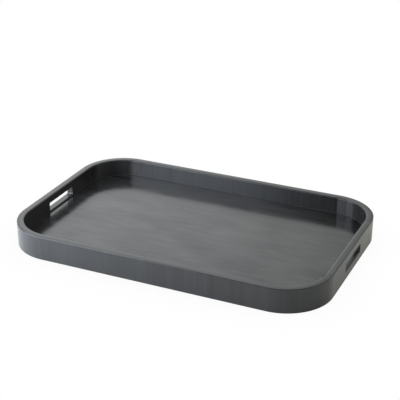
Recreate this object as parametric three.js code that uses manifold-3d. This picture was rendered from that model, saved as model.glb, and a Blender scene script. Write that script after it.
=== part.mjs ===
// Decorative serving tray: a low veneered frame with rounded corners round a panelled base.
// Millimetres, +Z up. The origin is the middle of the footprint, on the surface that the tray stands on.
// +X runs along the tray, so the two handle slots are in the walls at +X and -X.

import * as THREE from "three";
import { mergeVertices } from "three/addons/utils/BufferGeometryUtils.js";
import Module from "manifold-3d";

const wasm = await Module();
wasm.setup();

// Overall form
const trayLength = 600;
const trayWidth = 390;
const trayHeight = 45;
const cornerRadius = 87; // outer face, seen from above
const rimOuterRound = 1; // outer arris of the rim
const rimInnerRound = 2; // inner arris of the rim, where the hand rests
const footRound = 1; // bottom arris of the outer face

// Wall layers, from the outer face inwards: veneer, glue, core, glue, veneer
const veneerThickness = 0.6;
const coreThickness = 12;
const glueLine = 0.1; // also the glue in the butt joints
const cornerLap = 12; // straight length of each corner veneer past the curve, on one side

// Base panel and the groove that holds it
const floorHeight = 12; // top face of the base above the table
const baseCoreThickness = 6;
const baseVeneerThickness = 0.6;
const grooveDepth = 6;
const grooveClearance = 0.15; // above and below the panel, and under the inner veneers
const panelEdgeGap = 0.6; // room for the panel to swell, all round its edge

// Dowels, two to a joint
const dowelDiameter = 6;
const dowelLength = 30;
const dowelChamfer = 0.8;
const dowelClearance = 0.15; // radial, filled with glue
const dowelEndGap = 0.5;
const dowelEdgeDistance = 9; // dowel axis from the groove below and from the rim above

// Handle slots
const slotLength = 84;
const slotHeight = 16;
const slotCornerRadius = 2;
const slotSill = 3; // bottom of the slot above the tray's floor
const slotRound = 1.3; // arrises of the slot, inside and outside

// Facets
const cornerSegments = 16; // in each quarter turn
const roundSegments = 3; // in each roundover
const dowelSides = 12;
const cutterOverrun = 1; // how far a cutting block reaches past what it cuts
const mergeTolerance = 1e-4;

// Places in the wall's section: u is measured inwards from the outer face
const coreFrom = veneerThickness + glueLine;
const coreTo = coreFrom + coreThickness;
const coreMiddle = (coreFrom + coreTo) / 2;
const innerVeneerFrom = coreTo + glueLine;
const wallThickness = innerVeneerFrom + veneerThickness;

// Heights that the base sets
const panelThickness = baseCoreThickness + 2 * (baseVeneerThickness + glueLine);
const panelUnderside = floorHeight - panelThickness;
const grooveBottom = panelUnderside - grooveClearance;
const grooveTop = floorHeight + grooveClearance;
const panelInset = coreTo - grooveDepth + panelEdgeGap;

// Straight walls in turn from +X, anticlockwise from above. Corner k joins wall k to wall k + 1.
const quarterTurn = Math.PI / 2;
const endRun = trayWidth - 2 * cornerRadius;
const longRun = trayLength - 2 * cornerRadius;
const walls = [
  { name: "right", reach: trayLength / 2, run: endRun, hasSlot: true },
  { name: "back", reach: trayWidth / 2, run: longRun, hasSlot: false },
  { name: "left", reach: trayLength / 2, run: endRun, hasSlot: true },
  { name: "front", reach: trayWidth / 2, run: longRun, hasSlot: false },
];
const cornerNames = ["back_right", "back_left", "front_left", "front_right"];
const dowelHeights = {
  lower: grooveTop + dowelEdgeDistance,
  upper: trayHeight - dowelEdgeDistance,
};

// Materials
const lacquer = { roughness: 0.35, metalness: 0 };
const faceVeneer = new THREE.MeshStandardMaterial({ color: 0x2b2b2c, ...lacquer });
const stainedCore = new THREE.MeshStandardMaterial({ color: 0x272728, ...lacquer });
const plywood = new THREE.MeshStandardMaterial({ color: 0xb99a70, roughness: 0.7, metalness: 0 });
const beech = new THREE.MeshStandardMaterial({ color: 0xc9a77a, roughness: 0.65, metalness: 0 });

// Solids

function solidOf(geometry) {
  geometry.deleteAttribute("normal");
  geometry.deleteAttribute("uv");
  const merged = mergeVertices(geometry, mergeTolerance);
  return new wasm.Manifold(
    new wasm.Mesh({
      numProp: 3,
      vertProperties: merged.attributes.position.array,
      triVerts: new Uint32Array(merged.index.array),
    }),
  );
}

function geometryOf(solid) {
  const { vertProperties, triVerts } = solid.getMesh();
  const geometry = new THREE.BufferGeometry();
  geometry.setAttribute("position", new THREE.BufferAttribute(vertProperties, 3));
  geometry.setIndex(new THREE.BufferAttribute(triVerts, 1));
  return geometry;
}

function cutAway(solid, cutters) {
  return cutters.reduce((rest, cutter) => rest.subtract(cutter), solid);
}

// The wall's section

// How far a roundover still has to rise at a distance in from its arris.
function roundDrop(radius, distance) {
  const left = Math.max(radius - distance, 0);
  return radius - Math.sqrt(radius * radius - left * left);
}

function rimHeight(u) {
  return trayHeight - roundDrop(rimOuterRound, u) - roundDrop(rimInnerRound, wallThickness - u);
}

function footHeight(u) {
  return roundDrop(footRound, u);
}

// The distances in from its arris at which a roundover has a point.
function roundStations(radius) {
  const steps = Array.from({ length: roundSegments + 1 }, (_, i) => i / roundSegments);
  return steps.map((step) => radius * (1 - Math.cos(step * quarterTurn)));
}

// An edge of the section between two faces of a layer, with a point at each station between them.
function sectionEdge(stations, height, from, to) {
  const inside = stations.filter((u) => u > from && u < to).sort((a, b) => a - b);
  return [from, ...inside, to].map((u) => new THREE.Vector2(u, height(u)));
}

function rimEdge(from, to) {
  const inner = roundStations(rimInnerRound).map((distance) => wallThickness - distance);
  return sectionEdge([...roundStations(rimOuterRound), ...inner], rimHeight, from, to);
}

function footEdge(from, to) {
  return sectionEdge(roundStations(footRound), footHeight, from, to);
}

function outerVeneerSection() {
  const rim = rimEdge(0, veneerThickness).reverse();
  return [...footEdge(0, veneerThickness), ...rim];
}

function innerVeneerSection() {
  const rim = rimEdge(innerVeneerFrom, wallThickness).reverse();
  const foot = [innerVeneerFrom, wallThickness].map((u) => new THREE.Vector2(u, grooveTop));
  return [...foot, ...rim];
}

function coreSection() {
  const grooveBack = coreTo - grooveDepth;
  const groove = [
    new THREE.Vector2(coreTo, grooveBottom),
    new THREE.Vector2(grooveBack, grooveBottom),
    new THREE.Vector2(grooveBack, grooveTop),
    new THREE.Vector2(coreTo, grooveTop),
  ];
  return [...footEdge(coreFrom, coreTo), ...groove, ...rimEdge(coreFrom, coreTo).reverse()];
}

// Straight and curved lengths of wall

// A straight length in a wall's own frame: outer face on x = 0, inwards along -X, from y = start to y = end.
function straightWall(section, start, end) {
  const depth = end - start;
  const geometry = new THREE.ExtrudeGeometry(new THREE.Shape(section), { depth, bevelEnabled: false });
  const inwards = new THREE.Vector3(-1, 0, 0);
  const along = new THREE.Vector3(0, 1, 0);
  const up = new THREE.Vector3(0, 0, 1);
  geometry.applyMatrix4(new THREE.Matrix4().makeBasis(inwards, up, along));
  geometry.translate(0, start, 0);
  return solidOf(geometry);
}

// A quarter turn in a corner's own frame: the curve's centre on the Z axis, from +X round to +Y.
function curvedWall(section) {
  const profile = section.map(({ x: u, y: z }) => new THREE.Vector2(cornerRadius - u, z)).reverse();
  profile.push(profile[0].clone());
  const ring = new THREE.LatheGeometry(profile, 4 * cornerSegments);
  ring.rotateX(quarterTurn);
  const reach = cornerRadius + cutterOverrun;
  const quadrant = new THREE.BoxGeometry(reach, reach, 2 * (trayHeight + cutterOverrun));
  quadrant.translate(reach / 2, reach / 2, 0);
  return solidOf(ring).intersect(solidOf(quadrant));
}

// A corner veneer: the curve, and a short straight length along the wall that it starts from.
function lappedCorner(section) {
  const lap = straightWall(section, -cornerLap, 0).translate([cornerRadius, 0, 0]);
  return curvedWall(section).add(lap);
}

// Cutters

function dowelHole(depth) {
  const radius = dowelDiameter / 2 + dowelClearance;
  return new THREE.CylinderGeometry(radius, radius, 2 * depth, dowelSides);
}

// Both holes of one joint, across a joint plane at y = 0 in a wall's own frame.
function dowelHoles() {
  const depth = dowelLength / 2 + dowelEndGap;
  return Object.values(dowelHeights).map((z) =>
    solidOf(dowelHole(depth).translate(-coreMiddle, 0, z)),
  );
}

// A rectangle with rounded corners about the middle of its width and of its height.
function roundedRectangle(width, height, radius) {
  const x = width / 2 - radius;
  const y = height / 2 - radius;
  const outline = new THREE.Shape();
  outline.absarc(x, y, radius, 0, quarterTurn);
  outline.absarc(-x, y, radius, quarterTurn, 2 * quarterTurn);
  outline.absarc(-x, -y, radius, 2 * quarterTurn, 3 * quarterTurn);
  outline.absarc(x, -y, radius, 3 * quarterTurn, 4 * quarterTurn);
  outline.closePath();
  return outline;
}

// The slot as a solid that flares at both faces of the wall, so that it leaves rounded arrises.
function slotCutter() {
  const outline = roundedRectangle(slotLength, slotHeight, slotCornerRadius);
  const geometry = new THREE.ExtrudeGeometry(outline, {
    depth: wallThickness - 2 * slotRound,
    curveSegments: roundSegments,
    bevelThickness: slotRound,
    bevelSize: -slotRound,
    bevelOffset: slotRound,
    bevelSegments: roundSegments,
  });
  const along = new THREE.Vector3(0, 1, 0);
  const up = new THREE.Vector3(0, 0, 1);
  const outwards = new THREE.Vector3(1, 0, 0);
  geometry.applyMatrix4(new THREE.Matrix4().makeBasis(along, up, outwards));
  geometry.translate(slotRound - wallThickness, 0, floorHeight + slotSill + slotHeight / 2);
  return solidOf(geometry);
}

// Pieces

function pieceMesh(name, geometry, material) {
  const mesh = new THREE.Mesh(geometry, material);
  mesh.name = name;
  return mesh;
}

// One straight wall: its rail, and the veneers on the rail's two faces.
function straightWallGroup({ name, reach, run, hasSlot }) {
  const slots = hasSlot ? [slotCutter()] : [];
  const railEnd = run / 2 - glueLine;
  const joints = [-run / 2, run / 2].flatMap((y) =>
    dowelHoles().map((hole) => hole.translate([0, y, 0])),
  );
  const rail = cutAway(straightWall(coreSection(), -railEnd, railEnd), [...joints, ...slots]);
  const veneer = (section) =>
    cutAway(straightWall(section, -railEnd, railEnd - cornerLap), slots);

  const group = new THREE.Group();
  group.add(
    pieceMesh(`${name}_rail`, geometryOf(rail), stainedCore),
    pieceMesh(`${name}_outer_veneer`, geometryOf(veneer(outerVeneerSection())), faceVeneer),
    pieceMesh(`${name}_inner_veneer`, geometryOf(veneer(innerVeneerSection())), faceVeneer),
  );
  for (const piece of group.children) piece.position.x = reach;
  return group;
}

function dowelGeometry() {
  const radius = dowelDiameter / 2;
  const half = dowelLength / 2;
  const profile = [
    new THREE.Vector2(0, -half),
    new THREE.Vector2(radius - dowelChamfer, -half),
    new THREE.Vector2(radius, dowelChamfer - half),
    new THREE.Vector2(radius, half - dowelChamfer),
    new THREE.Vector2(radius - dowelChamfer, half),
    new THREE.Vector2(0, half),
  ];
  return new THREE.LatheGeometry(profile, dowelSides);
}

// The two dowels of one joint, across a joint plane at y = 0 in a wall's own frame.
function dowelPair(jointName) {
  const pair = new THREE.Group();
  for (const [level, z] of Object.entries(dowelHeights)) {
    const dowel = pieceMesh(`dowel_${jointName}_${level}`, dowelGeometry(), beech);
    dowel.position.set(-coreMiddle, 0, z);
    pair.add(dowel);
  }
  return pair;
}

// One corner: its block, the veneers on the block's two faces, and the dowels of both its joints.
function cornerGroup(name, startWall, endWall) {
  const group = new THREE.Group();
  const startHoles = dowelHoles().map((hole) => hole.translate([cornerRadius, 0, 0]));
  const endHoles = startHoles.map((hole) => hole.mirror([1, -1, 0]));
  const block = cutAway(curvedWall(coreSection()), [...startHoles, ...endHoles]);
  const startDowels = dowelPair(`${name}_${startWall.name}`);
  const endDowels = dowelPair(`${name}_${endWall.name}`);
  startDowels.position.x = cornerRadius;
  endDowels.position.y = cornerRadius;
  endDowels.rotation.z = quarterTurn;
  group.add(
    pieceMesh(`${name}_corner_block`, geometryOf(block), stainedCore),
    pieceMesh(`${name}_outer_veneer`, geometryOf(lappedCorner(outerVeneerSection())), faceVeneer),
    pieceMesh(`${name}_inner_veneer`, geometryOf(lappedCorner(innerVeneerSection())), faceVeneer),
    startDowels,
    endDowels,
  );
  for (const piece of group.children) {
    piece.position.x += startWall.reach - cornerRadius;
    piece.position.y += endWall.reach - cornerRadius;
  }
  return group;
}

// One sheet of the base panel, with its edge in the groove all round.
function baseSheet(name, underside, thickness, material) {
  const outline = roundedRectangle(
    trayLength - 2 * panelInset,
    trayWidth - 2 * panelInset,
    cornerRadius - panelInset,
  );
  const geometry = new THREE.ExtrudeGeometry(outline, {
    depth: thickness,
    bevelEnabled: false,
    curveSegments: cornerSegments / 2,
  });
  const sheet = pieceMesh(name, geometry, material);
  sheet.position.z = underside;
  return sheet;
}

function baseGroup() {
  const coreUnderside = panelUnderside + baseVeneerThickness + glueLine;
  const faceUnderside = floorHeight - baseVeneerThickness;
  const group = new THREE.Group();
  group.add(
    baseSheet("base_back_veneer", panelUnderside, baseVeneerThickness, stainedCore),
    baseSheet("base_core", coreUnderside, baseCoreThickness, plywood),
    baseSheet("base_floor_veneer", faceUnderside, baseVeneerThickness, faceVeneer),
  );
  return group;
}

// The tray
const tray = new THREE.Group();
tray.add(baseGroup());
walls.forEach((wall, k) => {
  const nextWall = walls[(k + 1) % walls.length];
  const side = new THREE.Group();
  side.rotation.z = k * quarterTurn;
  side.add(straightWallGroup(wall), cornerGroup(cornerNames[k], wall, nextWall));
  tray.add(side);
});

export default tray;
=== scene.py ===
"""A decorative serving tray: stained veneer on rounded walls, a lacquered floor and two finger slots.

The file is laid out as an add-on and run as a script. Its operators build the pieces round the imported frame.
Lengths are in metres. A wall's section is drawn by u, the distance inwards from the outer face, and z.
"""

import math
from functools import partial

import bmesh
import bpy
import numpy as np
from bpy.props import FloatProperty, FloatVectorProperty, IntProperty, PointerProperty
from mathutils import Matrix, Vector


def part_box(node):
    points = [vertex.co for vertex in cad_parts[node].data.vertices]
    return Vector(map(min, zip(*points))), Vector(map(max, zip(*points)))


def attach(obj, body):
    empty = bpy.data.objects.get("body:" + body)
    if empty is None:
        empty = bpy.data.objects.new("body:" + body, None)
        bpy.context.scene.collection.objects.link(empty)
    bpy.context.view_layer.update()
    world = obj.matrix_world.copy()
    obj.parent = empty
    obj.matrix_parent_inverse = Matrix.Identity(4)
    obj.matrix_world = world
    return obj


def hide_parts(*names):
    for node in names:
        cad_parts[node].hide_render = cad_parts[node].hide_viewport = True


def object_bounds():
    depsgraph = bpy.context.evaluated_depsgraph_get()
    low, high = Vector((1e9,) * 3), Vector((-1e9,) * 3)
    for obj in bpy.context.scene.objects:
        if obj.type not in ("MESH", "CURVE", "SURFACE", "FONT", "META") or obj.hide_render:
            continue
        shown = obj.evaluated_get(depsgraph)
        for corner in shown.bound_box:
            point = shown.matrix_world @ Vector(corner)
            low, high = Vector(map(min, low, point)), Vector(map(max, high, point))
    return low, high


bl_info = {
    "name": "Decorative tray",
    "version": (1, 0, 0),
    "blender": (4, 5, 0),
    "location": "View3D > Sidebar > Tray",
    "description": "Builds a veneered serving tray round its packed frame",
    "category": "Add Mesh",
}

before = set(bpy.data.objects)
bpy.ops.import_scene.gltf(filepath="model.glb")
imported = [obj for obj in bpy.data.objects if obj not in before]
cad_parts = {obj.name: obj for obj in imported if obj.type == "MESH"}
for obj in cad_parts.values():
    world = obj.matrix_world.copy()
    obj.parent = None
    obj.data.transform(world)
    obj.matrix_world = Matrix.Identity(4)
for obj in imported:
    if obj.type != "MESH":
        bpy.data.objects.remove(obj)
CAD_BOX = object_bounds()
MIDDLE = (CAD_BOX[0] + CAD_BOX[1]) / 2
MM = 0.001
QUARTER_TURN = math.pi / 2

# Walls in turn from +X, anticlockwise from above. Corner k joins wall k to wall k + 1.
WALLS = ("right", "back", "left", "front")
CORNERS = ("back_right", "back_left", "front_left", "front_right")
SLOTTED_WALLS = ("right", "left")

# Signs of x and y in the four quarters, anticlockwise from above
QUARTERS = ((1, 1), (-1, 1), (-1, -1), (1, -1))

# Places of a Mix node's colour sockets, among those of its other types
MIX_FACTOR = 0
MIX_FIRST = 6
MIX_SECOND = 7
MIX_RESULT = 2

# Noise for the ragged fibres of wood
FIBROUS = {"detail": 3.0, "roughness": 0.6}

# Height over which one sheen of the lacquer passes into another
SHEEN_EDGE = 0.3 * MM

# Kinds of property with their unit or subtype
LengthProperty = partial(FloatProperty, unit="LENGTH")
AngleProperty = partial(FloatProperty, unit="ROTATION")
FactorProperty = partial(FloatProperty, subtype="FACTOR")
ColourProperty = partial(FloatVectorProperty, subtype="COLOR")
PlaceProperty = partial(FloatVectorProperty, subtype="TRANSLATION")
PowerProperty = partial(FloatVectorProperty, unit="POWER")
LengthsProperty = partial(FloatVectorProperty, size=2, unit="LENGTH")
AnglesProperty = partial(FloatVectorProperty, size=2, unit="ROTATION")


def span(node):
    """The size of a node of the frame along each axis."""
    low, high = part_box(node)
    return high - low


def centre(node):
    """The middle of a node of the frame."""
    low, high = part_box(node)
    return (low + high) / 2


class TraySizes(bpy.types.PropertyGroup):
    """Sizes of the tray, in metres. Those that the frame holds are read from it."""

    corner_radius: LengthProperty(
        name="Corner radius",
        description="Outer radius of the four corners, seen from above",
        default=CAD_BOX[1].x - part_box("back_right_corner_block")[0].x,
    )
    core_from: LengthProperty(
        name="Core from",
        description="Outer face of the core, inwards from the wall's outer face",
        default=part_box("front_rail")[0].y - CAD_BOX[0].y,
    )
    core_thickness: LengthProperty(
        name="Core", description="Thickness of the wall's core", default=span("front_rail").y
    )
    veneer: LengthProperty(
        name="Veneer",
        description="Thickness of the veneer on each face of the wall",
        default=span("front_outer_veneer").y,
    )
    rim_outer_round: LengthProperty(
        name="Rim's outer round", description="Radius of the rim's outer arris", default=1 * MM
    )
    rim_inner_round: LengthProperty(
        name="Rim's inner round",
        description="Radius of the rim's inner arris, where the hand rests",
        default=2 * MM,
    )
    rim_crown: LengthProperty(
        name="Rim's crown", description="How far the rim's edges lie below its middle", default=0.35 * MM
    )
    foot_round: LengthProperty(
        name="Foot round", description="Radius of the outer face's bottom arris", default=1 * MM
    )
    groove_depth: LengthProperty(
        name="Groove depth",
        description="Depth of the groove in the core that holds the base panel",
        default=6 * MM,
    )
    bead: LengthProperty(
        name="Lacquer bead",
        description="Radius of the lacquer gathered where the wall meets the floor",
        default=0.8 * MM,
    )
    spring: AngleProperty(
        name="Spring",
        description="Turn over which the end of an inner corner veneer has sprung flat",
        default=math.radians(14),
    )
    slot_length: LengthProperty(name="Slot length", description="Length of each finger slot", default=84 * MM)
    slot_height: LengthProperty(name="Slot height", description="Height of each finger slot", default=16 * MM)
    slot_corner: LengthProperty(
        name="Slot corner", description="Radius of the finger slots' corners", default=2 * MM
    )
    slot_bottom: LengthProperty(
        name="Slot bottom", description="Bottom of the finger slots above the table", default=15 * MM
    )
    slot_round: LengthProperty(
        name="Slot round", description="Radius of the finger slots' arrises", default=1.3 * MM
    )
    dowel_clearance: LengthProperty(
        name="Dowel clearance", description="Glue round each dowel, and at its ends", default=0.15 * MM
    )
    dowel_flutes: IntProperty(
        name="Dowel flutes", description="Number of grooves along each dowel", default=12
    )
    flute_depth: LengthProperty(
        name="Flute depth", description="Depth of the grooves along each dowel", default=0.2 * MM
    )
    corner_steps: IntProperty(
        name="Corner steps", description="Straight steps in each quarter turn of the wall", default=120
    )
    round_steps: IntProperty(
        name="Round steps", description="Straight steps in each rounded arris", default=10
    )


class TrayFinish(bpy.types.PropertyGroup):
    """Colours and gloss of the tray's finishes."""

    stain_dark: ColourProperty(
        name="Dark stain", description="Darkest tone of the stained wood", default=(0.008, 0.008, 0.0085)
    )
    stain_light: ColourProperty(
        name="Light stain", description="Lightest tone of the stained wood", default=(0.042, 0.043, 0.0435)
    )
    # Lighter stain along the seams: partly stain rubbed thin, partly a painted highlight for the light that
    # the seams' edges catch.
    worn_stain_and_highlight: ColourProperty(
        name="Worn stain",
        description="Stained wood rubbed thin along the seams",
        default=(0.07, 0.068, 0.066),
    )
    plywood: ColourProperty(
        name="Plywood", description="Raw plywood of the base panel", default=(0.48, 0.33, 0.16)
    )
    beech: ColourProperty(name="Beech", description="Raw beech of the dowels", default=(0.58, 0.39, 0.2))
    outer_roughness: FactorProperty(
        name="Outer roughness", description="Roughness of the lacquer on the walls' outer faces", default=0.3
    )
    inner_roughness: FactorProperty(
        name="Inner roughness", description="Roughness of the lacquer on the walls' inner faces", default=0.22
    )
    floor_roughness: FactorProperty(
        name="Floor roughness", description="Roughness of the lacquer on the floor", default=0.17
    )
    rim_roughness: FactorProperty(
        name="Rim roughness", description="Roughness of the lacquer on the rim and in the slots", default=0.3
    )


class TrayStage(bpy.types.PropertyGroup):
    """Camera and light."""

    azimuth: AngleProperty(
        name="Azimuth",
        description="Camera's direction from the tray, from -Y towards +X",
        default=math.radians(24.673),
    )
    elevation: AngleProperty(
        name="Elevation", description="Camera's height above the horizon", default=math.radians(26.324)
    )
    distance: LengthProperty(
        name="Distance", description="Camera's distance from the middle of the tray", default=1.9409
    )
    lens: FloatProperty(
        name="Lens", description="Focal length on a 36 mm sensor", default=94.94, unit="CAMERA"
    )
    shift: FloatVectorProperty(
        name="Shift",
        description="Camera's shift right and up, as shares of the frame",
        default=(0.0102, 0.0657),
        size=2,
    )
    fill: ColourProperty(name="Fill", description="Light from all round", default=(0.253, 0.265, 0.232))
    floor_white: ColourProperty(
        name="Floor's white",
        description="White that the lacquer mirrors from the floor, beside the light there",
        default=(0.319, 0.32, 0.309),
    )
    back_glow: ColourProperty(
        name="Back glow",
        description="Bright part of the backdrop behind the tray, on its left",
        default=(1.345, 1.375, 1.43),
    )
    back_middle: AnglesProperty(
        name="Back glow's middle",
        description="Its azimuth from +X and its elevation",
        default=(math.radians(133), math.radians(38)),
    )
    back_reach: AnglesProperty(
        name="Back glow's reach",
        description="Angles from its middle at which it starts and ends fading",
        default=(math.radians(8), math.radians(36)),
    )
    side_glow: ColourProperty(
        name="Side glow",
        description="Bright part of the backdrop on the right of the tray",
        default=(0.53, 0.51, 0.55),
    )
    side_middle: AnglesProperty(
        name="Side glow's middle",
        description="Its azimuth from +X and its elevation",
        default=(math.radians(22.5), math.radians(21)),
    )
    side_reach: AnglesProperty(
        name="Side glow's reach",
        description="Angles from its middle at which it starts and ends fading",
        default=(math.radians(10), math.radians(56)),
    )
    key_place: PlaceProperty(
        name="Key light's place",
        description="Place of the soft light at the front left",
        default=(-0.6097, -0.6204, 0.2995),
    )
    key_size: LengthsProperty(
        name="Key light's size", description="Its width and height", default=(0.78, 0.65)
    )
    key_power: PowerProperty(
        name="Key light's power", description="Its power in red, green and blue", default=(14.1, 15.1, 17.0)
    )
    corner_place: PlaceProperty(
        name="Corner light's place",
        description="Place of the small light at the back right",
        default=(0.42, 0.26, 0.2),
    )
    corner_size: LengthsProperty(
        name="Corner light's size", description="Its width and height", default=(0.25, 0.18)
    )
    corner_power: PowerProperty(
        name="Corner light's power", description="Its power in red, green and blue", default=(0.26, 0.26, 0.2)
    )


# Node trees


def spaced(keyword):
    """The name of the socket that a keyword stands for."""
    return keyword.replace("_", " ")


class Value:
    """A socket that takes part in Python expressions: each operator adds a Math node."""

    def __init__(self, graph, socket):
        self.graph = graph
        self.socket = socket

    def __add__(self, other):
        return self.graph.math("ADD", self, other)

    def __radd__(self, other):
        return self.graph.math("ADD", other, self)

    def __sub__(self, other):
        return self.graph.math("SUBTRACT", self, other)

    def __rsub__(self, other):
        return self.graph.math("SUBTRACT", other, self)

    def __mul__(self, other):
        return self.graph.math("MULTIPLY", self, other)

    def __truediv__(self, other):
        return self.graph.math("DIVIDE", self, other)


class Graph:
    """A node tree to which nodes are added by their type, sockets and settings."""

    def __init__(self, tree):
        self.tree = tree

    def add(self, kind, sockets=None, **settings):
        """Adds a node. Its sockets go by name or by place, and take a plain value or another node's."""
        node = self.tree.nodes.new(kind)
        for name, setting in settings.items():
            setattr(node, name, setting)
        for key, given in (sockets or {}).items():
            if isinstance(given, Value):
                self.tree.links.new(given.socket, node.inputs[key])
            else:
                node.inputs[key].default_value = given
        return node

    def value(self, kind, sockets=None, output=0, **settings):
        """Adds a node and gives one of its outputs."""
        return Value(self, self.add(kind, sockets, **settings).outputs[output])

    def math(self, operation, first, second=0.0):
        return self.value("ShaderNodeMath", {0: first, 1: second}, operation=operation)

    def vector(self, x, y, z):
        return self.value("ShaderNodeCombineXYZ", {0: x, 1: y, 2: z})

    def parts(self, vector):
        """The three numbers of a vector."""
        return [Value(self, output) for output in self.add("ShaderNodeSeparateXYZ", {0: vector}).outputs]

    def place(self):
        """Where a point lies on its object, as three numbers."""
        return self.parts(self.value("ShaderNodeTexCoord", output="Object"))

    def attribute(self, name, output):
        return self.value("ShaderNodeAttribute", output=output, attribute_name=name)

    def blend(self, factor, first, second):
        """A mix of two colours. A plain colour is three numbers."""
        first, second = (c if isinstance(c, Value) else (*c, 1.0) for c in (first, second))
        sockets = {MIX_FACTOR: factor, MIX_FIRST: first, MIX_SECOND: second}
        return self.value("ShaderNodeMix", sockets, MIX_RESULT, data_type="RGBA")

    def ramp(self, given, low, high):
        """0 below low, 1 above high and smooth between them."""
        sockets = {"Value": given, "From Min": low, "From Max": high}
        return self.value("ShaderNodeMapRange", sockets, interpolation_type="SMOOTHSTEP")

    def noise(self, place, cells, layer=0.0, detail=2.0, roughness=0.5):
        """Soft noise about 0, with so many cells to the metre along each number of a place.

        A pattern over two numbers has a layer of the noise to itself.
        """
        scaled = [number * count for number, count in zip(place, cells)]
        vector = self.vector(*(scaled + [layer])[:3])
        sockets = {"Vector": vector, "Scale": 1.0, "Detail": detail, "Roughness": roughness}
        return self.value("ShaderNodeTexNoise", sockets) - 0.5

    def relief(self, pattern, depth):
        """A surface that rises and falls with a pattern, by a depth for each 1 of it."""
        return self.value("ShaderNodeBump", {"Distance": depth, "Height": pattern})

    def shade(self, **sockets):
        """Ends a material in a Principled shader, whose sockets go by keyword."""
        given = {spaced(keyword): setting for keyword, setting in sockets.items()}
        self.add("ShaderNodeOutputMaterial", {"Surface": self.value("ShaderNodeBsdfPrincipled", given)})


def empty_graph(owner):
    """The node tree of a material or a world, emptied."""
    owner.use_nodes = True
    owner.node_tree.nodes.clear()
    return Graph(owner.node_tree)


def new_material(name):
    """A new material, as (material, its empty graph)."""
    material = bpy.data.materials.new(name)
    return material, empty_graph(material)


# Geometry trees


def geometry_tree(name, **inputs):
    """A new geometry tree with inputs given by keyword and type, as (graph, its inputs by keyword)."""
    tree = bpy.data.node_groups.new(name, "GeometryNodeTree")
    for keyword, kind in inputs.items():
        tree.interface.new_socket(spaced(keyword), in_out="INPUT", socket_type="NodeSocket" + kind)
    tree.interface.new_socket("Geometry", in_out="OUTPUT", socket_type="NodeSocketGeometry")
    graph = Graph(tree)
    outputs = graph.add("NodeGroupInput").outputs
    return graph, {keyword: Value(graph, outputs[spaced(keyword)]) for keyword in inputs}


def finish_tree(graph, geometry, material):
    """Ends a geometry tree in plain geometry with its material."""
    real = graph.value("GeometryNodeRealizeInstances", {0: geometry})
    painted = graph.value("GeometryNodeSetMaterial", {"Geometry": real, "Material": material})
    graph.add("NodeGroupOutput", {0: painted})
    return graph.tree


def wall_strip_tree():
    """One layer of wall: a section carried along a straight run and then round a turn."""
    graph, given = geometry_tree(
        "wall_strip",
        Section="Object",
        Straight="Float",
        Radius="Float",
        Turn="Float",
        Sprung="Float",
        Steps="Int",
        Place="Vector",
        Turned="Float",
        Material="Material",
    )
    steps = given["Steps"]
    points = graph.value("GeometryNodeMeshLine", {"Count": steps + 1})
    index = graph.value("GeometryNodeInputIndex")
    is_first = graph.math("COMPARE", index, 0.0)
    is_last = graph.math("COMPARE", index, steps)
    curving = given["Turn"] - given["Sprung"]
    curving_steps = graph.math("MAXIMUM", steps - 2.0, 1.0)
    even = graph.math("MAXIMUM", index - 1.0, 0.0) * curving / curving_steps
    angle = even + (given["Turn"] - even) * is_last
    x = given["Radius"] * graph.math("COSINE", angle)
    y = given["Radius"] * graph.math("SINE", angle) - given["Straight"] * is_first
    path = graph.value("GeometryNodeSetPosition", {"Geometry": points, "Position": graph.vector(x, y, 0.0)})
    curve = graph.value("GeometryNodeMeshToCurve", {"Mesh": path})
    upright = graph.value("GeometryNodeSetCurveNormal", {"Curve": curve}, mode="Z_UP")
    section = graph.value("GeometryNodeObjectInfo", {"Object": given["Section"]}, "Geometry")
    sockets = {"Curve": upright, "Profile Curve": section, "Fill Caps": True}
    strip = graph.value("GeometryNodeCurveToMesh", sockets)
    rotation = graph.vector(0.0, 0.0, given["Turned"])
    sockets = {"Geometry": strip, "Translation": given["Place"], "Rotation": rotation}
    placed = graph.value("GeometryNodeTransform", sockets)
    return finish_tree(graph, placed, given["Material"])


def dowel_tree():
    """Fluted dowels, one at each point that comes in, along the point's own axis."""
    graph, given = geometry_tree(
        "dowels",
        Geometry="Geometry",
        Diameter="Float",
        Length="Float",
        Chamfer="Float",
        Flutes="Int",
        Flute_depth="Float",
        Material="Material",
    )
    radius = given["Diameter"] / 2.0
    half = given["Length"] / 2.0
    sockets = {"Vertices": 72, "Side Segments": 3, "Radius": radius, "Depth": given["Length"]}
    blank = graph.value("GeometryNodeMeshCylinder", sockets, "Mesh", fill_type="NGON")
    position = graph.value("GeometryNodeInputPosition")
    x, y, z = graph.parts(position)
    near_end = half * 0.9
    is_end = graph.math("GREATER_THAN", graph.math("ABSOLUTE", z), near_end)
    wave = graph.math("COSINE", graph.math("ARCTAN2", y, x) * given["Flutes"])
    flute = graph.math("MAXIMUM", wave, 0.0) * given["Flute_depth"]
    narrowed = 1.0 - (flute + (given["Chamfer"] - flute) * is_end) / radius
    level = graph.math("SIGN", z) * (half - given["Chamfer"] * (1.0 - is_end))
    shape = graph.vector(x * narrowed, y * narrowed, level)
    shaped = graph.value("GeometryNodeSetPosition", {"Geometry": blank, "Position": shape})
    sockets = {"Geometry": shaped, "Name": "grain", "Value": position}
    marked = graph.value("GeometryNodeStoreNamedAttribute", sockets, data_type="FLOAT_VECTOR", domain="POINT")
    axis = graph.value("GeometryNodeInputNamedAttribute", {"Name": "axis"}, data_type="FLOAT_VECTOR")
    turn = graph.value("FunctionNodeAlignRotationToVector", {"Vector": axis}, axis="Z")
    sockets = {"Points": given["Geometry"], "Instance": marked, "Rotation": turn}
    dowels = graph.value("GeometryNodeInstanceOnPoints", sockets)
    return finish_tree(graph, dowels, given["Material"])


# Meshes


def link(name, data):
    made = bpy.data.objects.new(name, data)
    bpy.context.scene.collection.objects.link(made)
    return made


def discard(*objects):
    for old in objects:
        bpy.data.objects.remove(old)


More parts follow.
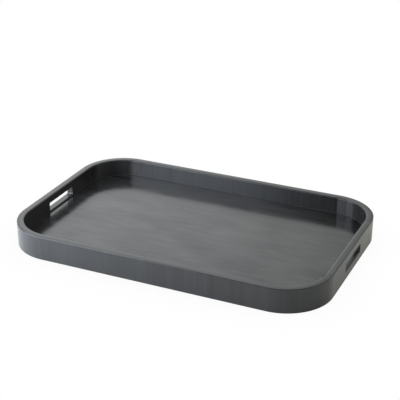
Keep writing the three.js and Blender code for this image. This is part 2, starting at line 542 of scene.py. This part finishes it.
def add_tree(target, tree, **given):
    """Gives an object a geometry tree, with its inputs by keyword."""
    modifier = target.modifiers.new(tree.name, "NODES")
    modifier.node_group = tree
    identifiers = {item.name: item.identifier for item in tree.interface.items_tree}
    for keyword, setting in given.items():
        modifier[identifiers[spaced(keyword)]] = setting


def bake(name, source):
    """A plain mesh object made of what an object's modifiers give. The source is discarded."""
    graph = bpy.context.evaluated_depsgraph_get()
    mesh = bpy.data.meshes.new_from_object(source.evaluated_get(graph))
    mesh.name = name
    discard(source)
    return link(name, mesh)


def mesh_of(name, shape):
    """An object holding a bmesh, with its faces turned outwards."""
    bmesh.ops.recalc_face_normals(shape, faces=shape.faces)
    mesh = bpy.data.meshes.new(name)
    shape.to_mesh(mesh)
    shape.free()
    return link(name, mesh)


def loft(shape, rings):
    """Joins rings of points with quads and closes both ends."""
    loops = [[shape.verts.new(point) for point in ring] for ring in rings]
    for near, far in zip(loops, loops[1:]):
        for i in range(len(near)):
            j = (i + 1) % len(near)
            shape.faces.new((near[i], near[j], far[j], far[i]))
    shape.faces.new(loops[0])
    shape.faces.new(loops[-1])


def quarter_angles(steps):
    """The angles of a quarter turn, step by step."""
    return [QUARTER_TURN * i / steps for i in range(steps + 1)]


def rounded_rectangle(width, height, radius, steps):
    """Points round a rectangle with rounded corners about the origin."""
    points = []
    for corner, (sign_x, sign_y) in enumerate(QUARTERS):
        for step in quarter_angles(steps):
            angle = corner * QUARTER_TURN + step
            x = sign_x * (width / 2 - radius) + radius * math.cos(angle)
            y = sign_y * (height / 2 - radius) + radius * math.sin(angle)
            points.append((x, y))
    return points


def smooth(target):
    """Smooth shading that leaves flat faces flat and sharp edges sharp."""
    sharp_angle = math.radians(35)
    target.data.shade_smooth()
    target.data.set_sharp_from_angle(angle=sharp_angle)
    modifier = target.modifiers.new("weighted_normals", "WEIGHTED_NORMAL")
    modifier.keep_sharp = True
    modifier.weight = 100


def hand_over(piece, slot, *nodes):
    """Seats a finished piece in the frame: it joins the root body, and the nodes that it stands for are
    hidden. The slot is not used.
    """
    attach(piece, "root")
    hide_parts(*nodes)


# The wall's section


def round_drop(radius, distance):
    """How far a rounded arris still has to rise at a distance in from its face."""
    left = max(radius - distance, 0)
    return radius - math.sqrt(radius * radius - left * left)


def between(stations, start, end):
    """Two ends and the stations between them, in order."""
    return [start, *sorted(u for u in stations if start < u < end), end]


class Section:
    """Outlines of the wall's layers, worked out from the sizes."""

    def __init__(self, sizes):
        self.sizes = sizes
        self.height = CAD_BOX[1].z
        self.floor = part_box("base_floor_veneer")[1].z
        self.core_to = sizes.core_from + sizes.core_thickness
        glue = sizes.core_from - sizes.veneer
        self.inner_from = self.core_to + glue
        self.thickness = self.inner_from + sizes.veneer
        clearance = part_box("front_inner_veneer")[0].z - self.floor
        self.groove_top = self.floor + clearance
        self.groove_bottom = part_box("base_back_veneer")[0].z - clearance

    def round_stations(self, radius):
        """The distances in from its face at which a rounded arris has a point."""
        return [radius * (1 - math.cos(angle)) for angle in quarter_angles(self.sizes.round_steps)]

    def rim(self, start, end):
        """The top edge, from start to end."""
        outer = self.sizes.rim_outer_round
        inner = self.sizes.rim_inner_round
        steps = self.sizes.round_steps
        stations = self.round_stations(outer) + [self.thickness - d for d in self.round_stations(inner)]
        stations += [self.thickness * i / steps for i in range(steps)]
        edge = []
        for u in between(stations, start, end):
            crown = self.sizes.rim_crown * (2 * u / self.thickness - 1) ** 2
            z = self.height - crown - round_drop(outer, u) - round_drop(inner, self.thickness - u)
            edge.append((u, z))
        return edge

    def foot(self, start, end):
        """The bottom edge, from start to end."""
        radius = self.sizes.foot_round
        return [(u, round_drop(radius, u)) for u in between(self.round_stations(radius), start, end)]

    def outer_veneer(self):
        return self.foot(0, self.sizes.veneer) + self.rim(0, self.sizes.veneer)[::-1]

    def core(self):
        """The core, with the groove for the base panel in its inner face."""
        groove_back = self.core_to - self.sizes.groove_depth
        groove = [
            (self.core_to, self.groove_bottom),
            (groove_back, self.groove_bottom),
            (groove_back, self.groove_top),
            (self.core_to, self.groove_top),
        ]
        start = self.sizes.core_from
        return self.foot(start, self.core_to) + groove + self.rim(start, self.core_to)[::-1]

    def inner_veneer(self):
        """The inner veneer, with the lacquer bead at its foot just clear of the floor."""
        bead = self.sizes.bead
        clear = 0.02 * MM
        base = self.floor + clear
        outline = [(self.inner_from, base)]
        for angle in quarter_angles(self.sizes.round_steps):
            u = self.thickness + bead * (1 - math.sin(angle))
            outline.append((u, base + bead * (1 - math.cos(angle))))
        return outline + self.rim(self.inner_from, self.thickness)[::-1]

    def curve(self, name, outline):
        """An outline as a closed curve that the wall strips carry along: right is outwards, down is up."""
        data = bpy.data.curves.new(name, "CURVE")
        spline = data.splines.new("POLY")
        spline.points.add(len(outline) - 1)
        spline.use_cyclic_u = True
        for point, (u, z) in zip(spline.points, outline):
            point.co = (-u, -z, 0, 1)
        return link(name, data)


def wall_reach(k):
    """How far wall k's outer face lies from the middle of the tray."""
    return CAD_BOX[1][k % 2]


def corner_place(k, sizes):
    """The centre of corner k's curve, in the frame of wall k turned to +X."""
    return Vector((wall_reach(k) - sizes.corner_radius, wall_reach(k + 1) - sizes.corner_radius, 0))


def turned(k, vector):
    """A vector in the frame of wall k turned to +X, as it stands on the tray."""
    return Matrix.Rotation(k * QUARTER_TURN, 3, "Z") @ Vector(vector)


def strip_ends(k, node):
    """Where a strip of wall k starts and ends along the wall, read off its node."""
    along = turned(k, (0, 1, 0))
    return sorted(corner.dot(along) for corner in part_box(node))


# Marks on the walls that the finishes follow


def mark_points(mesh, name, kind, field, values):
    """Gives each point of a mesh a named attribute."""
    marks = mesh.attributes.new(name, kind, "POINT")
    marks.data.foreach_set(field, np.ravel(values).astype(np.float32))


def mark_strip(piece, sizes, seed):
    """Marks each point of a wall piece for the finishes.

    The attribute strip holds the distance round the tray, shifted by a seed, and the distances to the two
    ends of the piece. The attribute depth is u.
    """
    mesh = piece.data
    points = np.zeros(len(mesh.vertices) * 3, np.float32)
    mesh.vertices.foreach_get("co", points)
    x, y, _ = points.reshape(-1, 3).T
    radius = sizes.corner_radius
    half_x = CAD_BOX[1].x - radius
    half_y = CAD_BOX[1].y - radius
    near_x = np.clip(x, -half_x, half_x)
    near_y = np.clip(y, -half_y, half_y)
    angle = np.arctan2(y - near_y, x - near_x)
    middle = float(np.arctan2(np.sin(angle).mean(), np.cos(angle).mean()))
    angle = middle + (angle - middle + math.pi) % (2 * math.pi) - math.pi
    across = -np.sin(angle) * near_x + np.cos(angle) * near_y
    along = radius * angle + across
    strip = np.stack([along + seed, along - along.min(), along.max() - along], 1)
    mark_points(mesh, "strip", "FLOAT_VECTOR", "vector", strip)
    mark_points(mesh, "depth", "FLOAT", "value", radius - np.hypot(x - near_x, y - near_y))


# Finishes


def stained(graph, finish, tone):
    """The colour of stained wood by its tone, from 0 for the darkest to 1 for the lightest."""
    return graph.blend(tone, finish.stain_dark, finish.stain_light)


def veneer_finish(name, finish, roughness, figure, seam_highlight_and_wear, polish):
    """Stained veneer with upright grain, lacquered, rubbed thin along its seams and lightened there by a
    painted highlight.

    figure is the strength of the grain, and seam the share of lighter stain along the seams: partly stain
    rubbed thin, partly a painted highlight for the light that the seams' edges catch.
    polish(graph, height, roughness) gives the roughness by the height above the table.
    """
    material, graph = new_material(name)
    along, from_start, to_end = graph.parts(graph.attribute("strip", "Vector"))
    height = graph.place()[2]
    face = (along, height)
    fibres = graph.noise(face, (1300, 30), **FIBROUS)
    stripes = graph.noise(face, (160, 8), layer=3)
    bands = graph.noise(face, (28, 4), layer=7)
    lines = graph.ramp(graph.noise(face, (330, 5), layer=11), 0.1, 0.22)
    tone = 0.45 + (fibres * 0.8 + stripes * 1.2 + bands + lines * 0.5) * figure
    # Lighter stain near the ends of a strip: stain rubbed thin at the seams, and a painted highlight for the
    # light that the seams' edges catch. The wear also roughens the lacquer.
    seam_wear_and_highlight = 1.0 - graph.ramp(graph.math("MINIMUM", from_start, to_end), 0.2 * MM, 0.9 * MM)
    unevenness = (stripes * 0.12 + fibres * 0.08) * figure + seam_wear_and_highlight * seam_highlight_and_wear * 0.2
    graph.shade(
        Base_Color=graph.blend(seam_wear_and_highlight * seam_highlight_and_wear, stained(graph, finish, tone), finish.worn_stain_and_highlight),
        Roughness=polish(graph, height, roughness + unevenness),
        Normal=graph.relief(fibres * 0.6 + stripes * 0.8 + bands * 2, depth=0.05 * MM * figure),
    )
    return material


def floor_finish(finish):
    """Stained veneer with its figure lengthwise, under glossy lacquer that lies a little unevenly."""
    material, graph = new_material("floor_veneer")
    face = graph.place()[:2]
    fibres = graph.noise(face, (18, 1100), **FIBROUS)
    streaks = graph.noise(face, (14, 130), layer=5, detail=3)
    clouds = graph.noise(face, (9, 16), layer=20, detail=3)
    graph.shade(
        Base_Color=stained(graph, finish, 0.5 + fibres * 0.9 + streaks * 1.6 + clouds * 1.6),
        Roughness=finish.floor_roughness + clouds * 0.12 + streaks * 0.07,
        Coat_Weight=0.1 + streaks * 0.22 + clouds * 0.4,
        Coat_Roughness=finish.floor_roughness,
        Normal=graph.relief(fibres * 0.3 + streaks, depth=0.03 * MM),
    )
    return material


def rim_finish(finish):
    """Stained core with its grain along the wall, lacquered, as it shows on the rim and in the slots."""
    material, graph = new_material("rim_core")
    along = graph.parts(graph.attribute("strip", "Vector"))[0]
    wood = (along, graph.attribute("depth", "Fac"), graph.place()[2])
    fibres = graph.noise(wood, (25, 1500, 1500), **FIBROUS)
    streaks = graph.noise(wood, (7, 300, 300))
    graph.shade(
        Base_Color=stained(graph, finish, 0.5 + fibres * 0.6 + streaks * 0.7),
        Roughness=finish.rim_roughness + fibres * 0.15 + streaks * 0.1,
        Coat_Weight=0.12 + streaks * 0.7,
        Coat_Roughness=finish.rim_roughness,
        Normal=graph.relief(fibres + streaks, depth=0.03 * MM),
    )
    return material


def underside_finish(finish):
    """Stained balancing veneer under the tray, sealed but not polished."""
    material, graph = new_material("underside_veneer")
    face = graph.place()[:2]
    fibres = graph.noise(face, (15, 700), layer=2, **FIBROUS)
    streaks = graph.noise(face, (4, 90), layer=6, detail=3)
    graph.shade(
        Base_Color=stained(graph, finish, 0.5 + fibres * 0.6 + streaks * 0.7),
        Roughness=0.55 + fibres * 0.2,
        Normal=graph.relief(fibres + streaks, depth=0.1 * MM),
    )
    return material


def plywood_finish(finish):
    """Raw plywood: thin plies that turn by a quarter from one to the next."""
    material, graph = new_material("base_plywood")
    wood = graph.place()
    ply = 1.2 * MM
    is_crosswise = graph.math("GREATER_THAN", graph.math("PINGPONG", wood[2], ply), ply / 2)
    lengthwise = graph.noise(wood, (20, 800, 900), **FIBROUS)
    crosswise = graph.noise(wood, (800, 20, 900), **FIBROUS)
    grain = lengthwise + (crosswise - lengthwise) * is_crosswise
    dark = [0.62 * c for c in finish.plywood]
    graph.shade(
        Base_Color=graph.blend(0.7 + grain * 0.8 - is_crosswise * 0.35, dark, finish.plywood),
        Roughness=0.75 + grain * 0.2,
        Normal=graph.relief(grain, depth=0.1 * MM),
    )
    return material


def beech_finish(finish):
    """Raw beech with its short dark flecks along the dowel."""
    material, graph = new_material("dowel_beech")
    wood = graph.parts(graph.attribute("grain", "Vector"))
    fibres = graph.noise(wood, (2500, 2500, 60), **FIBROUS)
    flecks = graph.ramp(graph.noise(wood, (3000, 3000, 500)), 0.12, 0.2)
    dark = [0.6 * c for c in finish.beech]
    graph.shade(
        Base_Color=graph.blend(0.8 + fibres * 0.8 - flecks * 0.7, dark, finish.beech),
        Roughness=0.7 + fibres * 0.2,
        Normal=graph.relief(fibres - flecks, depth=0.1 * MM),
    )
    return material


# Cutters


def slot_rings(sizes, section):
    """Rings of a finger slot as a solid that flares at both faces of the wall, for a wall at +X."""
    overrun = 1 * MM
    radius = sizes.slot_round
    stations = [(-overrun, radius)]
    for angle in quarter_angles(sizes.round_steps):
        stations.append((radius * (1 - math.cos(angle)), radius * (1 - math.sin(angle))))
    stations += [(section.thickness - u, flare) for u, flare in stations[::-1]]
    middle = sizes.slot_bottom + sizes.slot_height / 2
    rings = []
    for u, flare in stations:
        length = sizes.slot_length + 2 * flare
        height = sizes.slot_height + 2 * flare
        outline = rounded_rectangle(length, height, sizes.slot_corner + flare, sizes.round_steps)
        rings.append([Vector((-u, y, middle + z)) for y, z in outline])
    return rings


def wall_slots(k, sizes, section):
    """Cutters of wall k's finger slot, if it has one."""
    if WALLS[k] not in SLOTTED_WALLS:
        return []
    outer_face = Vector((wall_reach(k), 0, 0))
    return [[[turned(k, outer_face + p) for p in ring] for ring in slot_rings(sizes, section)]]


def dowel_nodes(joint=""):
    """The frame's dowels, or those of the joint of a corner and a wall."""
    return sorted(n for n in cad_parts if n.startswith("dowel_" + joint))


def dowel_rings(node, clearance):
    """Rings of the hole round a dowel."""
    size = span(node)
    radius = size.z / 2 + clearance
    half = max(size) / 2 + clearance
    sides = 48
    rings = []
    for end in (-half, half):
        ring = []
        for i in range(sides):
            angle = 2 * math.pi * i / sides
            across = radius * math.cos(angle)
            up = radius * math.sin(angle)
            ring.append(centre(node) + Vector((end, across, up) if size.x > size.y else (across, end, up)))
        rings.append(ring)
    return rings


def dowel_holes(sizes, *joints):
    """Cutters of the dowel holes at some joints."""
    return [dowel_rings(node, sizes.dowel_clearance) for joint in joints for node in dowel_nodes(joint)]


def cut(target, cutters):
    """Cuts solids, given by their rings, out of an object."""
    shape = bmesh.new()
    for rings in cutters:
        loft(shape, rings)
    tool = mesh_of("cutter", shape)
    modifier = target.modifiers.new("cut", "BOOLEAN")
    modifier.operation = "DIFFERENCE"
    modifier.solver = "EXACT"
    modifier.object = tool
    return tool


# Pieces


def figure_seed(name):
    """A shift of the figure that differs from strip to strip."""
    shift = 0.37
    return shift * sum(ord(letter) for letter in name)


class Layer:
    """A layer of the wall: strips with one section and finish, handed over as they are made."""

    def __init__(self, sizes, curve, material, slot):
        self.sizes = sizes
        self.tree = wall_strip_tree()
        self.curve = curve
        self.material = material
        self.slot = slot

    def strip(self, k, name, node, place, cutters, **path):
        """A strip that starts from a place in the frame of wall k turned to +X and follows a path."""
        blank = link(name + "_blank", bpy.data.meshes.new(name + "_blank"))
        looks = {"Section": self.curve, "Material": self.material}
        add_tree(blank, self.tree, Place=turned(k, place), Turned=k * QUARTER_TURN, **looks, **path)
        tools = [cut(blank, cutters)] if cutters else []
        piece = bake(name, blank)
        discard(*tools)
        mark_strip(piece, self.sizes, figure_seed(name))
        smooth(piece)
        hand_over(piece, self.slot, node)

    def straight(self, k, name, node, cutters):
        """The strip of wall k, from where its node starts to where it ends."""
        start, end = strip_ends(k, node)
        self.strip(k, name, node, (wall_reach(k), end, 0), cutters, Straight=end - start, Steps=1)

    def corner(self, k, name, node, cutters=(), lap=0.0, sprung=0.0):
        """The strip of corner k, with a straight lap on the wall that it starts from."""
        path = {
            "Straight": lap,
            "Radius": self.sizes.corner_radius,
            "Turn": QUARTER_TURN,
            "Sprung": sprung,
            "Steps": self.sizes.corner_steps,
        }
        self.strip(k, name, node, corner_place(k, self.sizes), cutters, **path)


class TRAY_OT_cores(bpy.types.Operator):
    """Builds the rails and the corner blocks, whose top edge is the rim"""

    bl_idname = "tray.cores"
    bl_label = "Rails and corner blocks"

    def execute(self, context):
        sizes = context.scene.tray_sizes
        section = Section(sizes)
        curve = section.curve("core_section", section.core())
        layer = Layer(sizes, curve, rim_finish(context.scene.tray_finish), "stained_core")
        for k, (wall, corner) in enumerate(zip(WALLS, CORNERS)):
            corner_before = CORNERS[k - 1]
            wall_after = WALLS[(k + 1) % len(WALLS)]
            holes = dowel_holes(sizes, f"{corner}_{wall}", f"{corner_before}_{wall}")
            layer.straight(k, f"rail_{wall}", f"{wall}_rail", holes + wall_slots(k, sizes, section))
            holes = dowel_holes(sizes, f"{corner}_{wall}", f"{corner}_{wall_after}")
            layer.corner(k, f"corner_block_{corner}", f"{corner}_corner_block", holes)
        discard(curve)
        return {"FINISHED"}


def build_veneers(context, side, outline, material, sprung):
    """The eight strips of veneer on one side of the wall."""
    sizes = context.scene.tray_sizes
    section = Section(sizes)
    curve = section.curve(f"{side}_veneer_section", outline(section))
    layer = Layer(sizes, curve, material, "face_veneer")
    for k, (wall, corner) in enumerate(zip(WALLS, CORNERS)):
        slots = wall_slots(k, sizes, section)
        layer.straight(k, f"{side}_veneer_{wall}", f"{wall}_{side}_veneer", slots)
        node = f"{corner}_{side}_veneer"
        lap = corner_place(k, sizes).y - strip_ends(k, node)[0]
        layer.corner(k, f"{side}_veneer_{corner}", node, lap=lap, sprung=sprung)
    discard(curve)


class TRAY_OT_outer_veneers(bpy.types.Operator):
    """Builds the strips of veneer on the outer faces of the wall"""

    bl_idname = "tray.outer_veneers"
    bl_label = "Outer veneers"

    def execute(self, context):
        finish = context.scene.tray_finish
        arris = CAD_BOX[1].z - context.scene.tray_sizes.rim_outer_round
        smoother = 0.12

        def polish(graph, height, roughness):
            """The lacquer has gathered on the arris."""
            return roughness - graph.ramp(height, arris, arris + SHEEN_EDGE) * smoother

        roughness = finish.outer_roughness
        material = veneer_finish("outer_veneer", finish, roughness, figure=0.4, seam_highlight_and_wear=0.15, polish=polish)
        build_veneers(context, "outer", Section.outer_veneer, material, sprung=0.0)
        return {"FINISHED"}


class TRAY_OT_inner_veneers(bpy.types.Operator):
    """Builds the strips of veneer on the inner faces of the wall"""

    bl_idname = "tray.inner_veneers"
    bl_label = "Inner veneers"

    def execute(self, context):
        sizes = context.scene.tray_sizes
        finish = context.scene.tray_finish
        bead_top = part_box("base_floor_veneer")[1].z + sizes.bead
        arris = CAD_BOX[1].z - sizes.rim_inner_round
        matt = 0.8
        rubbed = 0.4

        def polish(graph, height, roughness):
            """The bead at the foot of the wall stays matt, and the arris has been rubbed."""
            on_bead = 1.0 - graph.ramp(height, bead_top - SHEEN_EDGE, bead_top)
            on_arris = graph.ramp(height, arris, arris + SHEEN_EDGE)
            return roughness + (matt - roughness) * on_bead + (rubbed - roughness) * on_arris

        roughness = finish.inner_roughness
        material = veneer_finish("inner_veneer", finish, roughness, figure=0.42, seam_highlight_and_wear=0.3, polish=polish)
        build_veneers(context, "inner", Section.inner_veneer, material, sizes.spring)
        return {"FINISHED"}


class TRAY_OT_base(bpy.types.Operator):
    """Builds the three sheets of the base panel"""

    bl_idname = "tray.base"
    bl_label = "Base panel"

    def execute(self, context):
        sizes = context.scene.tray_sizes
        finish = context.scene.tray_finish
        # The sheets' corners lie in the groove, so a coarser curve will do.
        steps = sizes.corner_steps // 4
        sheets = (
            ("floor_sheet", "base_floor_veneer", "face_veneer", floor_finish(finish)),
            ("panel_core", "base_core", "base_plywood", plywood_finish(finish)),
            ("underside_sheet", "base_back_veneer", "stained_core", underside_finish(finish)),
        )
        for name, node, slot, material in sheets:
            low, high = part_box(node)
            radius = sizes.corner_radius - (low.x - CAD_BOX[0].x)
            outline = rounded_rectangle(span(node).x, span(node).y, radius, steps)
            shape = bmesh.new()
            loft(shape, [[(x, y, z) for x, y in outline] for z in (low.z, high.z)])
            piece = mesh_of(name, shape)
            piece.data.materials.append(material)
            smooth(piece)
            hand_over(piece, slot, node)
        return {"FINISHED"}


class TRAY_OT_dowels(bpy.types.Operator):
    """Builds the fluted dowels that join the rails to the corner blocks"""

    bl_idname = "tray.dowels"
    bl_label = "Dowels"

    def execute(self, context):
        sizes = context.scene.tray_sizes
        nodes = dowel_nodes()
        spans = [span(node) for node in nodes]
        mesh = bpy.data.meshes.new("dowel_places")
        mesh.from_pydata([centre(node) for node in nodes], [], [])
        axes = [(1, 0, 0) if size.x > size.y else (0, 1, 0) for size in spans]
        mark_points(mesh, "axis", "FLOAT_VECTOR", "vector", axes)
        places = link("dowel_places", mesh)
        add_tree(
            places,
            dowel_tree(),
            Diameter=spans[0].z,
            Length=max(spans[0]),
            Chamfer=0.8 * MM,
            Flutes=sizes.dowel_flutes,
            Flute_depth=sizes.flute_depth,
            Material=beech_finish(context.scene.tray_finish),
        )
        piece = bake("dowels", places)
        smooth(piece)
        hand_over(piece, "dowel_beech", *nodes)
        return {"FINISHED"}


# The stage


def direction(azimuth, elevation):
    """The way that an azimuth from +X and an elevation point."""
    flat = math.cos(elevation)
    return Vector((math.cos(azimuth) * flat, math.sin(azimuth) * flat, math.sin(elevation)))


def face_tray(target):
    """Turns a camera or a light to the middle of the tray."""
    target.rotation_euler = (MIDDLE - target.location).to_track_quat("-Z", "Y").to_euler()


class TRAY_OT_stage(bpy.types.Operator):
    """Sets the camera, the pale floor and the soft studio light"""

    bl_idname = "tray.stage"
    bl_label = "Stage"

    def execute(self, context):
        stage = context.scene.tray_stage
        self.add_camera(context, stage)
        self.add_floor(stage)
        self.add_sky(context, stage)
        self.add_lamp("key_light", stage.key_place, stage.key_size, stage.key_power)
        self.add_lamp("corner_light", stage.corner_place, stage.corner_size, stage.corner_power)
        context.scene.view_settings.view_transform = "Standard"
        return {"FINISHED"}

    def add_camera(self, context, stage):
        data = bpy.data.cameras.new("camera")
        data.sensor_width = 36.0
        data.lens = stage.lens
        data.shift_x, data.shift_y = stage.shift
        camera = link("camera", data)
        camera.location = MIDDLE + direction(stage.azimuth - QUARTER_TURN, stage.elevation) * stage.distance
        face_tray(camera)
        context.scene.camera = camera

    def add_floor(self, stage):
        """A matt floor that is seen as white, but for a painted shade close to the tray."""
        half = 6.0
        below = -0.2 * MM
        painted_shade_reach = 0.08
        painted_shade_depth = 0.07
        matt_grey = (0.8, 0.8, 0.8, 1)
        mesh = bpy.data.meshes.new("stage_floor")
        mesh.from_pydata([(half * x, half * y, below) for x, y in QUARTERS], [], [range(len(QUARTERS))])
        material, graph = new_material("stage_floor")
        rays = graph.add("ShaderNodeLightPath").outputs
        seen = Value(graph, rays["Is Camera Ray"]) + Value(graph, rays["Is Transmission Ray"])
        glossy = Value(graph, rays["Is Glossy Ray"])
        open_sky = graph.value("ShaderNodeAmbientOcclusion", {"Distance": painted_shade_reach}, "AO", samples=16)
        mirrored = graph.blend(glossy, (0, 0, 0), stage.floor_white)
        tint = graph.blend(seen, mirrored, (1, 1, 1))
        # Painted shadow: ambient occlusion darkens the floor's white close to the tray, as the camera sees it
        # and as the lacquer mirrors it.
        strength = 1.0 - painted_shade_depth + open_sky * painted_shade_depth
        white = graph.value("ShaderNodeEmission", {"Color": tint, "Strength": strength})
        matt = graph.value("ShaderNodeBsdfDiffuse", {"Color": matt_grey})
        lit = graph.value("ShaderNodeMixShader", {0: seen, 1: matt})
        surface = graph.value("ShaderNodeAddShader", {0: white, 1: lit})
        graph.add("ShaderNodeOutputMaterial", {"Surface": surface})
        mesh.materials.append(material)
        link("stage_floor", mesh)

    def add_sky(self, context, stage):
        """Light from all round with two brighter parts, which the camera sees as plain white."""
        world = bpy.data.worlds.new("sky")
        graph = empty_graph(world)
        light = graph.value("ShaderNodeBackground", {"Color": (*stage.fill, 1)})
        glows = (
            (stage.back_glow, stage.back_middle, stage.back_reach),
            (stage.side_glow, stage.side_middle, stage.side_reach),
        )
        for level, middle, reach in glows:
            share = self.glow(graph, middle, reach)
            bright = graph.value("ShaderNodeBackground", {"Color": (*level, 1), "Strength": share})
            light = graph.value("ShaderNodeAddShader", {0: light, 1: bright})
        camera = graph.value("ShaderNodeLightPath", output="Is Camera Ray")
        white = graph.value("ShaderNodeBackground", {"Color": (1, 1, 1, 1)})
        backdrop = graph.value("ShaderNodeMixShader", {0: camera, 1: light, 2: white})
        graph.add("ShaderNodeOutputWorld", {"Surface": backdrop})
        context.scene.world = world

    @staticmethod
    def glow(graph, middle, reach):
        """1 in the middle of a bright part of the backdrop, down to the horizon, and 0 outside it."""
        towards = direction(*middle)
        x, y, z = graph.parts(graph.value("ShaderNodeTexCoord", output="Generated"))
        raised = graph.vector(x, y, graph.math("MAXIMUM", z, towards.z))
        way = graph.value("ShaderNodeVectorMath", {0: raised}, operation="NORMALIZE")
        facing = graph.value("ShaderNodeVectorMath", {0: way, 1: towards}, "Value", operation="DOT_PRODUCT")
        return 1.0 - graph.ramp(graph.math("ARCCOSINE", facing), *reach)

    def add_lamp(self, name, place, size, power):
        """A soft light that faces the middle of the tray. Its power is given by colour."""
        data = bpy.data.lights.new(name, "AREA")
        data.shape = "RECTANGLE"
        data.size, data.size_y = size
        data.energy = max(power)
        data.color = [share / data.energy for share in power]
        lamp = link(name, data)
        lamp.location = place
        face_tray(lamp)


OPERATORS = (
    TRAY_OT_cores,
    TRAY_OT_outer_veneers,
    TRAY_OT_inner_veneers,
    TRAY_OT_base,
    TRAY_OT_dowels,
    TRAY_OT_stage,
)


class TRAY_PT_panel(bpy.types.Panel):
    """Lists the tray's pieces and the stage"""

    bl_idname = "TRAY_PT_panel"
    bl_label = "Decorative tray"
    bl_space_type = "VIEW_3D"
    bl_region_type = "UI"
    bl_category = "Tray"

    def draw(self, context):
        for operator in OPERATORS:
            self.layout.operator(operator.bl_idname)
        for name, group in GROUPS.items():
            box = self.layout.box()
            for label in group.__annotations__:
                box.prop(getattr(context.scene, name), label)


GROUPS = {"tray_sizes": TraySizes, "tray_finish": TrayFinish, "tray_stage": TrayStage}


def register():
    for added in (*GROUPS.values(), *OPERATORS, TRAY_PT_panel):
        bpy.utils.register_class(added)
    for name, group in GROUPS.items():
        setattr(bpy.types.Scene, name, PointerProperty(type=group))


def unregister():
    for name in GROUPS:
        delattr(bpy.types.Scene, name)
    for added in (TRAY_PT_panel, *reversed(OPERATORS), *GROUPS.values()):
        bpy.utils.unregister_class(added)


def main():
    register()
    bpy.ops.tray.cores()
    bpy.ops.tray.outer_veneers()
    bpy.ops.tray.inner_veneers()
    bpy.ops.tray.base()
    bpy.ops.tray.dowels()
    bpy.ops.tray.stage()


if __name__ == "__main__":
    main()
